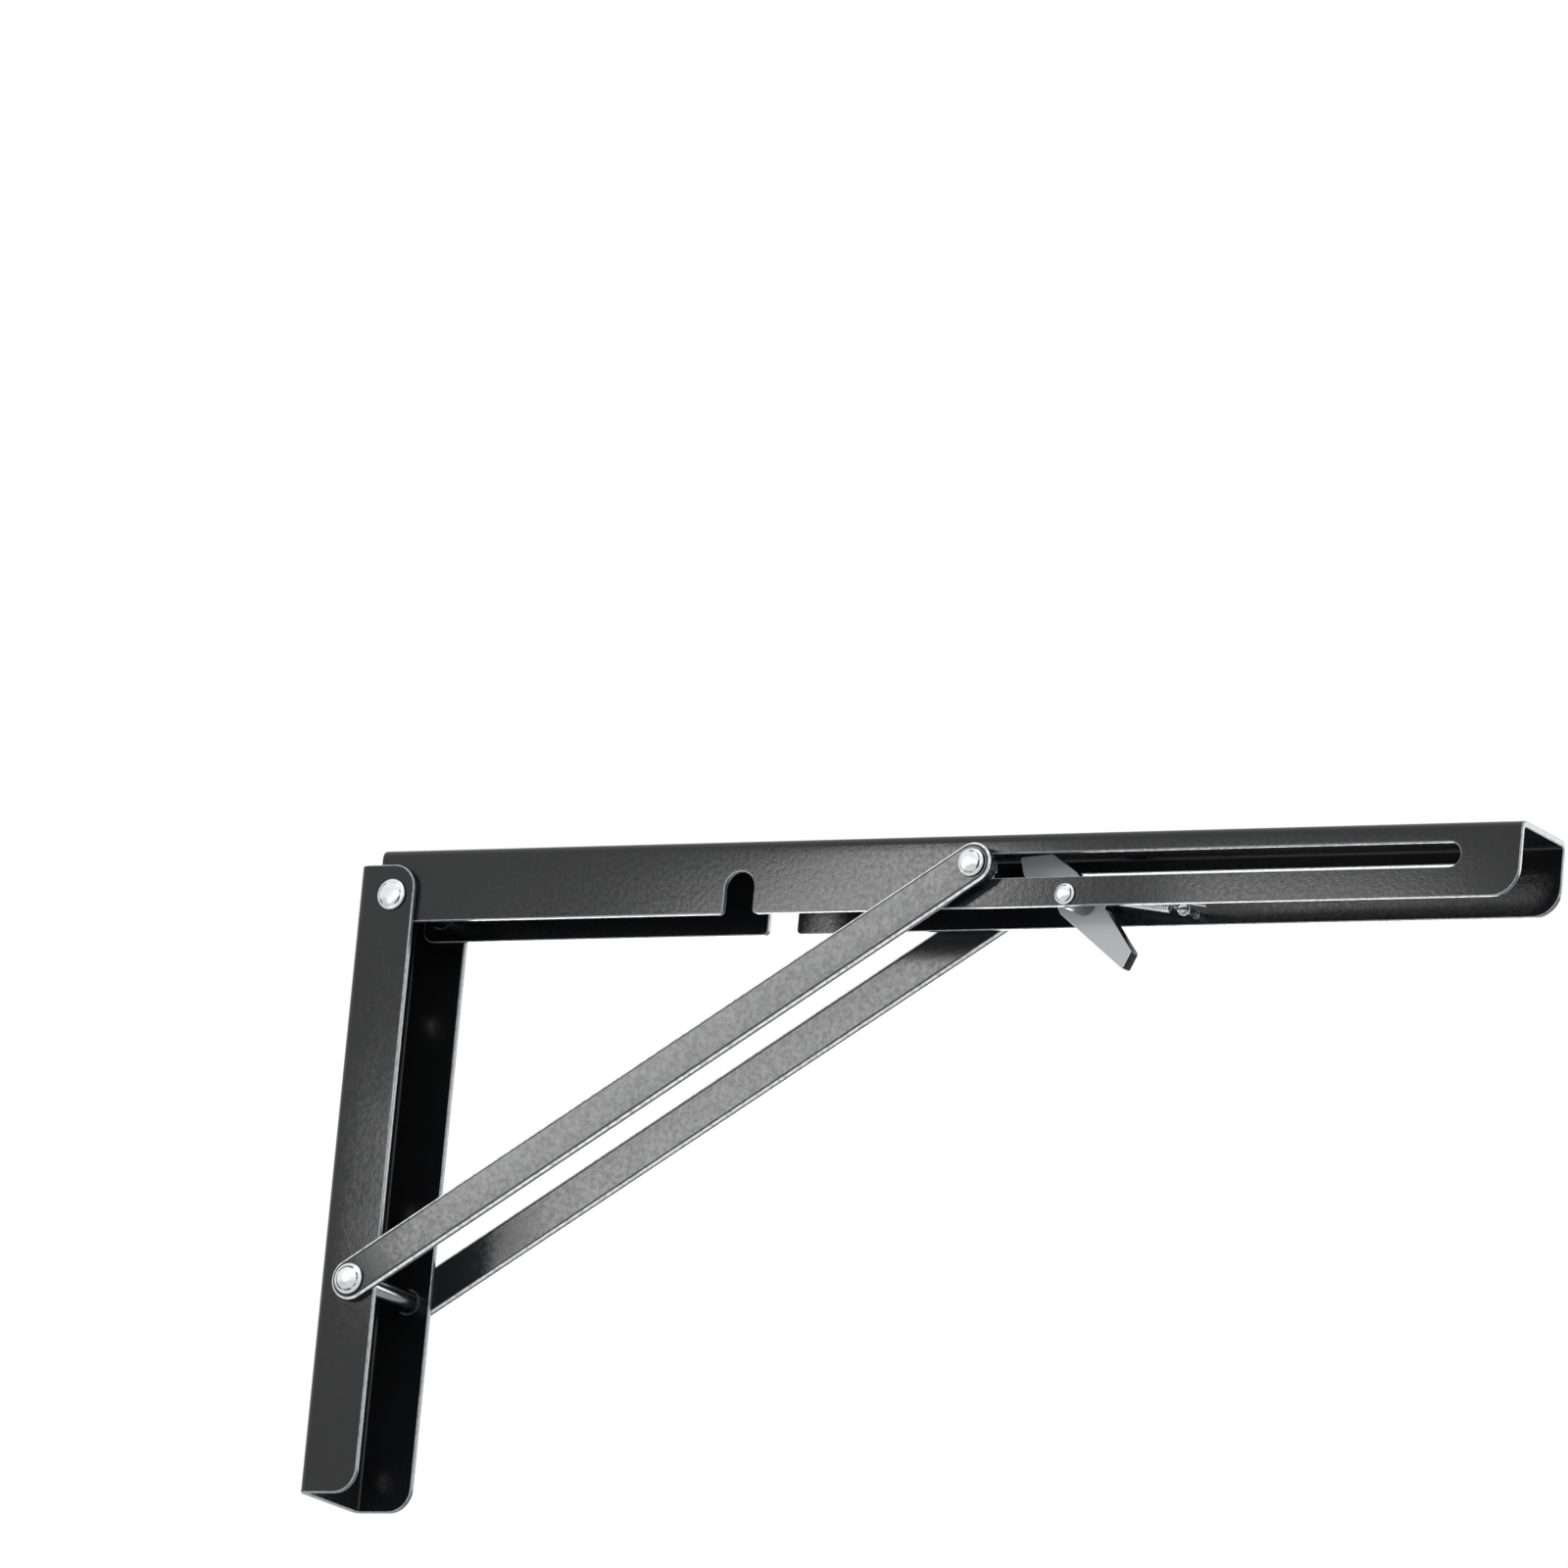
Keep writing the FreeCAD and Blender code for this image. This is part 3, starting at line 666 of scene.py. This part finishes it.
# %% Brace bars
BAR, BAR_HALF, BRACE_GAP, RIVET_HOLE = 2.5, 6.7, 0.3, 3.05
BAR_EDGE_RADIUS = 1.0
SIDES = ((-1, "near"), (1, "far"))
bar_inner = WALL_HALF + BRACE_GAP
bar_outer = bar_inner + BAR
foot_point, slider_point = (PIVOT_X, -FOOT_DROP), (PIVOT_X + SLIDER, SLOT_RISE)


def flat_on(y_outer, side):
    """Place function of a flat piece that faces side (-1 near, 1 far): (u, t) are x and z."""
    return lambda u, t, w: np.stack([u, np.full_like(u, y_outer - side * w), t], 1)


for side, end_name in SIDES:
    bar = sheet_piece("brace_bar_" + end_name + "_flat", stadium(foot_point, slider_point, BAR_HALF),
                      [circle(foot_point, RIVET_HOLE), circle(slider_point, RIVET_HOLE)], [],
                      flat_on(side * bar_outer, side), BAR, bar_coat, BAR_EDGE_RADIUS)
    stand_for(bar, "brace_bar_" + end_name)

# %% [markdown]
# The latch lever is the thickest blank, 5 mm. Its outline is a nose and a handle with small
# rounded corners and a round boss between them. Seen from the boss's middle the outline goes
# round just once, so the boss is added by pushing every point that lies nearer out to its radius.

# %% Latch lever
LEVER, LEVER_HOLE, BOSS, SPRING_HOLE = 5.0, 2.55, 7.5, 0.9
LEVER_CORNER, LEVER_STEP, LEVER_EDGE_RADIUS = 0.8, 0.4, 0.25
SPRING_HOLE_SHIFT = (4.5, 3.5)
lever_corners = [(-22.5, 9.5), (-13.0, 5.0), (-8.5, -3.0), (15.3, -21.4), (18.0, -15.6), (8.5, -3.0),
                 (-4.0, 10.4), (-13.0, 16.4), (-24.5, 15.6)]
latch_point = np.array([PIVOT_X + LATCH, LATCH_RISE])
spring_point = latch_point + SPRING_HOLE_SHIFT
lever_loop = dense(rounded(lever_corners, LEVER_CORNER), LEVER_STEP)
from_boss = np.linalg.norm(lever_loop, axis=1)[:, None]
lever_loop = lever_loop / from_boss * np.maximum(from_boss, BOSS)
lever = sheet_piece("latch_lever_plate", lever_loop + latch_point,
                    [circle(latch_point, LEVER_HOLE), circle(spring_point, SPRING_HOLE)], [],
                    flat_on(-LEVER / 2, -1), LEVER, lever_coat_painted_reflection, LEVER_EDGE_RADIUS)
stand_for(lever, "latch_lever")

# %% [markdown]
# Rivets, sleeves, bushes, washers and spacers are turned or headed. Each is a profile, radius
# against height, carried once round an axis along Y. A profile that starts and ends on the
# axis is a solid, and one that closes on itself is a ring.

# %% Turned pieces
AROUND = 96
ROUND_SHARP = 50.0


def turned_piece(name, axis, profile, material, ring=False):
    """Surface of two parameters: angle a round the axis and place s along the profile (r, y).
    Point = axis + r(s) (cos a, sin a) in the XZ plane, at height y(s)."""
    profile = np.array(profile, float)
    a = np.linspace(0, 2 * np.pi, AROUND, endpoint=False)
    r, y = profile[:, :1], profile[:, 1:]
    grid = np.stack([axis[0] + r * np.cos(a), y + 0 * a, axis[1] + r * np.sin(a)], -1)
    index = np.arange(len(profile) * AROUND).reshape(-1, AROUND)
    if ring:
        index = np.concatenate([index, index[:1]])
    return mesh_piece(name, grid.reshape(-1, 3) * MM, quads_between(index).tolist(), material, ROUND_SHARP,
                      off_axis=np.repeat(r / r.max(), AROUND))


print("a turned piece has", AROUND, "points round its axis")

# %% [markdown]
# The rivets are headed cold on both sides of the bracket. The head is a low dome that the
# peening tool leaves with a dimple at its pole, a shallow groove near its rim and a rolled rim.
# A flattened ball would show none of these, so the dome is a profile with its own formula. The
# slider's rivet is opened in the middle, so each of its heads has its own stub.

# %% Rivets
CROWN_ROWS, CROWN_DIVISIONS = 23, 24
RIM_SHARE, RIM_LEAST, ROLL = 0.16, 0.25, 0.22
DIMPLE_DEPTH, DIMPLE_WIDTH = 0.07, 0.2
GROOVE_DEPTH, GROOVE_AT, GROOVE_WIDTH = 0.05, 0.78, 0.06
SEAT_RISE, SEAT_INSET = 0.04, 0.06
SHANK, HEAD, HEAD_HEIGHT = 3.0, 5.2, 2.4
LATCH_SHANK, LATCH_HEAD, LATCH_HEAD_HEIGHT = 2.5, 3.6, 1.9
SLIDER_HEAD, STUB_BREAK = 4.7, 0.3


def head(radius, height, seat, side):
    """Headed end from the pole to the seat plane: a peened dimple, a spherical crown with a shallow
    groove, a rolled rim. The sphere of crown height c goes through the rim: R = (r^2 + c^2) / 2c."""
    rim = RIM_SHARE * height + RIM_LEAST
    crown = height - rim
    ball = (radius ** 2 + crown ** 2) / (2 * crown)
    r = radius * np.linspace(0, 1, CROWN_DIVISIONS + 1)[:CROWN_ROWS]
    y = height - ball + np.sqrt(ball ** 2 - r ** 2)
    dimple = DIMPLE_DEPTH * height * np.exp(-(r / (DIMPLE_WIDTH * radius)) ** 2)
    groove = GROOVE_DEPTH * height * np.exp(-((r - GROOVE_AT * radius) / (GROOVE_WIDTH * radius)) ** 2)
    rolled = arc((radius - ROLL, rim - ROLL), ROLL, 80, 0)
    seat_edge = [[radius, SEAT_RISE], [radius - SEAT_INSET, 0.0]]
    rows = np.concatenate([np.stack([r, y - dimple - groove], 1), rolled, seat_edge])
    return np.stack([rows[:, 0], side * (seat + rows[:, 1])], 1)


def two_headed(node_name, axis, shank, radius, height, seat):
    """Rivet with a head on both sides of the bracket: near head, shank, far head as one profile."""
    near_head = head(radius, height, seat, -1)
    far_head = head(radius, height, seat, 1)[::-1]
    profile = np.concatenate([near_head, [[shank, -seat], [shank, seat]], far_head])
    stand_for(turned_piece(node_name + "_headed", axis, profile, zinc), node_name)


foot_axis, slider_axis, main_axis = foot_point, slider_point, (PIVOT_X, 0.0)
two_headed("pivot_rivet", main_axis, SHANK, HEAD, HEAD_HEIGHT, WALL_HALF)
two_headed("foot_rivet", foot_axis, SHANK, HEAD, HEAD_HEIGHT, bar_outer)
two_headed("latch_rivet", tuple(latch_point), LATCH_SHANK, LATCH_HEAD, LATCH_HEAD_HEIGHT, SHELF_HALF)
for side, end_name in SIDES:
    one_head = head(SLIDER_HEAD, HEAD_HEIGHT, bar_outer, side)
    stub = [[SHANK, side * bar_outer], [SHANK, side * (bar_inner + STUB_BREAK)],
            [SHANK - STUB_BREAK, side * bar_inner], [0.0, side * bar_inner]]
    stand_for(turned_piece("slider_rivet_" + end_name + "_headed", slider_axis,
                           np.concatenate([one_head, stub]), zinc), "slider_rivet_" + end_name)

# %% [markdown]
# Sleeves, bushes, washers and spacers are rings with broken edges, turned from bar on a lathe.
# The bush has a collar that stays inside the channel, and the washer sits between the flange
# and the bar. A closed section carried round the axis gives the bore too, with no boolean.

# %% Rings
RING_BREAK, BUSH_BREAK = 0.25, 0.12
END_PLAY, SIDE_PLAY, BAR_PLAY = 0.05, 0.2, 0.3
SPACER_RADIUS, WASHER_RADIUS = 4.0, 6.0
COLLAR_RADIUS, COLLAR_BACK = 5.0, 1.2


def ring_piece(node_name, axis, outer, inner, low_y, high_y):
    """Turned ring of rectangular section with its corners broken by small arcs."""
    corners = [(inner, low_y), (outer, low_y), (outer, high_y), (inner, high_y)]
    section = rounded(corners, RING_BREAK)
    stand_for(turned_piece(node_name + "_turned", axis, section, turned, ring=True), node_name)


pivot_end, foot_end = WALL_HALF - SHEET - END_PLAY, bar_inner - END_PLAY
ring_piece("pivot_sleeve", main_axis, SLEEVE_RADIUS, PIVOT_HOLE, -pivot_end, pivot_end)
ring_piece("foot_sleeve", foot_axis, SLEEVE_RADIUS, RIVET_HOLE, -foot_end, foot_end)
flange_inner = SHELF_HALF - SHEET
collar, face, tail = flange_inner - COLLAR_BACK, flange_inner - SIDE_PLAY, bar_inner - BAR_PLAY
bush_corners = [(RIVET_HOLE, collar), (COLLAR_RADIUS, collar), (COLLAR_RADIUS, face),
                (SLEEVE_RADIUS, face), (SLEEVE_RADIUS, tail), (RIVET_HOLE, tail)]
for side, end_name in SIDES:
    spacer = sorted((side * (LEVER / 2 + SIDE_PLAY), side * (flange_inner - END_PLAY)))
    ring_piece("latch_spacer_" + end_name, tuple(latch_point), SPACER_RADIUS, LATCH_HOLE, *spacer)
    washer = sorted((side * (SHELF_HALF + SIDE_PLAY), side * (bar_inner - BAR_PLAY)))
    ring_piece("slider_washer_" + end_name, slider_axis, WASHER_RADIUS, SLEEVE_HOLE, *washer)
    section = rounded(bush_corners, BUSH_BREAK) * (1, side)
    stand_for(turned_piece("slider_bush_" + end_name + "_turned", slider_axis, section, turned, ring=True),
              "slider_bush_" + end_name)

# %% [markdown]
# The latch spring is a close-coiled extension spring of hard drawn wire. Its wire is one tube
# carried along one path. The section is kept from twisting by adding up the small turns
# between neighbouring frames, and where the path is bent its corners are smoothed.

# %% Tube along a path
SMOOTHING = 5
WIRE_SHARP = 60.0


def tube_piece(name, path, radius, sides, material):
    """Ring i: path(i) + radius (cos b e1 + sin b e2), b = angle + the twist added up so far."""
    t = np.gradient(path, axis=0)
    t /= np.linalg.norm(t, axis=1)[:, None]
    ref = np.eye(3)[np.argmin(np.abs(t), 1)]
    e1 = np.cross(t, ref)
    e1 /= np.linalg.norm(e1, axis=1)[:, None]
    e2 = np.cross(t, e1)
    carried = e1[:-1] - (e1[:-1] * t[1:]).sum(1)[:, None] * t[1:]
    step = np.arctan2((carried * e2[1:]).sum(1), (carried * e1[1:]).sum(1))
    twist = np.concatenate([[0.0], np.cumsum(step)])
    b = np.linspace(0, 2 * np.pi, sides, endpoint=False)[None, :] + twist[:, None]
    outward = np.cos(b)[..., None] * e1[:, None] + np.sin(b)[..., None] * e2[:, None]
    grid = path[:, None] + radius * outward
    index = np.arange(len(path) * sides).reshape(-1, sides)
    faces = quads_between(index).tolist() + [index[0, ::-1].tolist(), index[-1].tolist()]
    return mesh_piece(name, grid.reshape(-1, 3) * MM, faces, material, WIRE_SHARP)


def smooth_path(points, spacing):
    """Corners cut by a running mean after the points are spread evenly along the line."""
    points = np.array(points, float)
    length = np.concatenate([[0], np.cumsum(np.linalg.norm(np.diff(points, axis=0), axis=1))])
    s = np.arange(0, length[-1], spacing)
    even = np.stack([np.interp(s, length, points[:, k]) for k in range(3)], 1)
    kernel = np.ones(SMOOTHING) / SMOOTHING
    mean = np.stack([np.convolve(even[:, k], kernel, "same") for k in range(3)], 1)
    mean[:2], mean[-2:] = even[:2], even[-2:]
    return mean


print("wire bends are smoothed over", SMOOTHING, "points")

# %% [markdown]
# The path runs from a leg hooked through the lever to the coils, a helix with a pitch hardly
# more than the wire, then to a straight neck, a turn and a quarter round the anchor, and a cut
# end that sticks out, as the photograph shows. The tube is a fiftieth thinner than the wire, so
# that the coils stay apart.

# %% Latch spring
WIRE, COIL_RADIUS, SPRING_Y = 0.4, 2.0, 5.5
HOOK, NECK, TAIL = 3.5, 2.5, 8.0
STUD_RADIUS, LOOP_PLAY = 1.2, 0.3
PITCH_IN_WIRES, WIRE_FIT = 1.02, 0.98
LEG_OUT, LEG_BEND, HOOK_END = 1.0, 0.4, 1.0
LOOP_SHIFT, AGAIN_SHIFT, TAIL_SHIFT = 0.5, 0.55, 0.6
TURN_POINTS, LOOP_POINTS, AGAIN_POINTS, WIRE_SIDES = 28, 40, 10, 14
WIRE_SPACING, TAIL_SPACING = 0.25, 0.4
hook_at = np.array([spring_point[0], SPRING_Y, spring_point[1]])
anchor_at = np.array([PIVOT_X + ANCHOR, SPRING_Y, ANCHOR_RISE])
along = (anchor_at - hook_at) / np.linalg.norm(anchor_at - hook_at)
y_axis = np.array([0.0, 1.0, 0.0])
up = np.cross(y_axis, along)
up = up * np.sign(up[2])
loop_radius = STUD_RADIUS + LOOP_PLAY + WIRE
coil_length = np.linalg.norm(anchor_at - hook_at) - HOOK - NECK - loop_radius
coil_turns = int((coil_length - 2 * WIRE) / (2 * WIRE * PITCH_IN_WIRES))

a = np.linspace(0, 2 * np.pi * coil_turns, coil_turns * TURN_POINTS)
climb = HOOK + WIRE + (coil_length - 2 * WIRE) * a / a[-1]
coil_ray = np.cos(a)[:, None] * up + np.sin(a)[:, None] * y_axis
helix = hook_at + climb[:, None] * along + (COIL_RADIUS - WIRE) * coil_ray
in_hole = np.array([hook_at[0], -LEVER / 2 - LEG_OUT, hook_at[2]])
leg_points = [in_hole, hook_at - (0, LEG_BEND, 0), hook_at + along * (HOOK - HOOK_END), helix[0]]
leg = smooth_path(leg_points, WIRE_SPACING)[:-1]


def round_anchor(angle):
    """Points on the loop: anchor + loop radius (-cos a along + sin a up)."""
    return anchor_at + loop_radius * (-np.cos(angle)[:, None] * along + np.sin(angle)[:, None] * up)


loop_angle = np.linspace(0, 2 * np.pi, LOOP_POINTS)
loop = round_anchor(loop_angle)
loop[:, 1] += np.linspace(0, LOOP_SHIFT, LOOP_POINTS)
again = round_anchor(loop_angle[1:AGAIN_POINTS + 1]) + (0, AGAIN_SHIFT, 0)
neck_middle = anchor_at - along * (loop_radius + NECK / 2)
neck = smooth_path([helix[-1], neck_middle, loop[0]], WIRE_SPACING)[1:-1]
tail_start = anchor_at + loop_radius * up + (0, TAIL_SHIFT, 0)
tail = smooth_path([tail_start, tail_start + along * TAIL], TAIL_SPACING)[1:]
wire_path = np.concatenate([leg, helix, neck, loop, again, tail])
spring = tube_piece("latch_spring_coiled", wire_path, WIRE * WIRE_FIT, WIRE_SIDES, spring_steel)
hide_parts("latch_spring")
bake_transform(spring)
print("spring turns", coil_turns, "path points", len(wire_path))

# %% [markdown]
# The spring anchor is a small stud riveted into the far flange, with a head that keeps the loop
# on. It is turned like the rivets, from a few points: head, shank and broken end.

# %% Spring anchor
STUD_HEAD, STUD_HEAD_HEIGHT, STUD_HEAD_BREAK = 1.9, 0.8, 0.15
STUD_GAP, STUD_END_BREAK = 0.2, 0.1
stud_seat = SPRING_Y - WIRE - STUD_GAP
stud_top = stud_seat - STUD_HEAD_HEIGHT
stud = [[0.0, stud_top], [STUD_HEAD - STUD_HEAD_BREAK, stud_top], [STUD_HEAD, stud_top + STUD_HEAD_BREAK],
        [STUD_HEAD, stud_seat - STUD_HEAD_BREAK], [STUD_HEAD - STUD_HEAD_BREAK, stud_seat],
        [STUD_RADIUS, stud_seat], [STUD_RADIUS, SHELF_HALF - STUD_END_BREAK],
        [STUD_RADIUS - STUD_END_BREAK, SHELF_HALF], [0.0, SHELF_HALF]]
anchor_axis = (PIVOT_X + ANCHOR, ANCHOR_RISE)
stand_for(turned_piece("spring_anchor_stud", anchor_axis, stud, zinc), "spring_anchor")

# %% [markdown]
# Studio. The bracket is shown against plain white, as in a catalogue. The floor takes its shadow,
# and lies just below the tip of the shelf arm when that is folded down, so that no pose runs
# into it. The camera looks up from below the floor's level, so the floor is one-sided: its back
# face lets every ray through. The world is white to the camera, to gloss and through glass, and
# a little dimmer as a light, so that colours render about as written.

# %% Floor and world
FLOOR_REACH = 12.0
FLOOR_GAP = 4.0 * MM
WORLD_LIGHT = 0.75


def one_sided_floor(name, hex_colour):
    """Matt pale floor seen from above, clear from below."""
    material, tree = new_material(name)
    matt = node(tree, "ShaderNodeBsdfPrincipled", Base_Color=linear(hex_colour), Roughness=0.9)
    clear = node(tree, "ShaderNodeBsdfTransparent")
    side_seen = node(tree, "ShaderNodeNewGeometry").outputs["Backfacing"]
    close_material(tree, node(tree, "ShaderNodeMixShader", _0=side_seen,
                              _1=matt.outputs[0], _2=clear.outputs[0]))
    return material


floor_z = -TIP * MM - FLOOR_GAP
corners = [(x * FLOOR_REACH, y * FLOOR_REACH, floor_z) for x, y in ((-1, -1), (1, -1), (1, 1), (-1, 1))]
floor_mesh = bpy.data.meshes.new("floor")
floor_mesh.from_pydata(corners, [], [(0, 1, 2, 3)])
floor_mesh.materials.append(one_sided_floor("pale_floor", "f6f6f6"))
floor = bpy.data.objects.new("floor", floor_mesh)
bpy.context.scene.collection.objects.link(floor)

world = bpy.data.worlds.new("studio")
world.use_nodes = True
world.node_tree.nodes.clear()
tree = world.node_tree
path = node(tree, "ShaderNodeLightPath")
seen = node(tree, "ShaderNodeMath", {"operation": "MAXIMUM"},
            _0=path.outputs["Is Camera Ray"], _1=path.outputs["Is Glossy Ray"])
seen = node(tree, "ShaderNodeMath", {"operation": "MAXIMUM"},
            _0=seen.outputs[0], _1=path.outputs["Is Transmission Ray"])
strength = node(tree, "ShaderNodeMapRange", _0=seen.outputs[0], _3=WORLD_LIGHT)
sky = node(tree, "ShaderNodeBackground", Color=(1.0, 1.0, 1.0, 1.0), Strength=strength.outputs[0])
node(tree, "ShaderNodeOutputWorld", Surface=sky.outputs[0])
bpy.context.scene.world = world
print("floor at", round(floor_z, 4))

# %% [markdown]
# Black gloss shows little but what it mirrors, so most lamps aren't placed by eye but where a
# face mirrors the camera's view. A face that mirrors no lamp mirrors a small share of the white
# world, and stays nearly black.

# %% Lamps by mirror direction
FADE_ANGLE = math.radians(55)


def mirrored(normal):
    """Direction in which a face with this normal sends the camera's ray: d - 2 (d.n) n."""
    n = Vector(normal).normalized()
    return camera_ahead - 2 * camera_ahead.dot(n) * n


def soft_lamp(name, target, direction, distance, width, height, radiance, along=(0, 0, 1)):
    """Area lamp at target + distance * direction, facing the target, its height along the given line.
    A flat lamp of area A and radiance L gives pi A L watts. Its light fades to nothing at the angle
    a off its axis, which keeps it off the floor beside it, and the watts go down by
    (tan a - a) / tan a."""
    data = bpy.data.lights.new(name, "AREA")
    data.shape, data.size, data.size_y = "RECTANGLE", width, height
    data.spread = 2 * FADE_ANGLE
    data.energy = math.pi * width * height * radiance * (1 - FADE_ANGLE / math.tan(FADE_ANGLE))
    lamp = bpy.data.objects.new(name, data)
    back = Vector(direction).normalized()
    side = Vector(along).cross(back).normalized()
    lamp.matrix_world = Matrix.Translation(Vector(target) + distance * back) @ Matrix(
        (side, back.cross(side), back)).transposed().to_4x4()
    bpy.context.scene.collection.objects.link(lamp)
    lamp.visible_camera = False
    print(name, "at", tuple(round(v, 2) for v in lamp.location), "watts", round(data.energy, 2))


print("gloss of the near faces comes from", tuple(round(v, 3) for v in mirrored((0, -1, 0))))

# %% [markdown]
# A broad lamp above gives the plain light. A tall one behind on the right is what the cut edges
# that face right mirror, and a low one behind is what the edges that face down mirror: these,
# with the highlight painted along the edges, draw the photograph's white lines. Two strips in front,
# one for each brace bar, and a small box near the tip shade the bars and the lower part of the
# shelf arm from grey to dark. A strip is given by its two ends along the bar and its offset to the
# side, in millimetres. The far bar's strip starts further up, where the wall arm no longer hides it
# from that bar.

# %% Lamps
UNDER_SHELF_ARM, NEAR_TIP = Vector((0.21, 0.0, -0.01)), Vector((0.355, -0.016, -0.016))
low, high = cad_box
centre = (low + high) / 2
soft_lamp("lamp_above", centre, (0.3, -0.4, 1.0),
          distance=1.6, width=1.2, height=0.8, radiance=1.5, along=(0, 1, 0))
soft_lamp("lamp_right", centre, mirrored((1, 0, 0)),
          distance=1.3, width=0.6, height=0.5, radiance=6.5)
soft_lamp("lamp_low", UNDER_SHELF_ARM, mirrored((0, 0, -1)),
          distance=0.42, width=0.5, height=0.12, radiance=5.0)

bar_run = Vector((SLIDER, 0.0, FOOT_DROP + SLOT_RISE)).normalized()
bar_side = Vector((-bar_run.z, 0.0, bar_run.x))
foot = Vector((PIVOT_X, -bar_outer, -FOOT_DROP))
BAR_LAMPS = (("lamp_near_bar", 10.0, 257.0, -5.0), ("lamp_far_bar", 30.0, 257.0, 21.0))
for name, start, end, offset in BAR_LAMPS:
    middle = (foot + (start + end) / 2 * bar_run + offset * bar_side) * MM
    soft_lamp(name, middle, mirrored((0, -1, 0)),
              distance=0.25, width=0.0235, height=(end - start) * MM, radiance=9.8, along=bar_run)
soft_lamp("lamp_tip", NEAR_TIP, mirrored((0, -1, 0)),
          distance=0.2, width=0.09, height=0.02, radiance=7.0)
bpy.context.scene.view_settings.view_transform = "Standard"
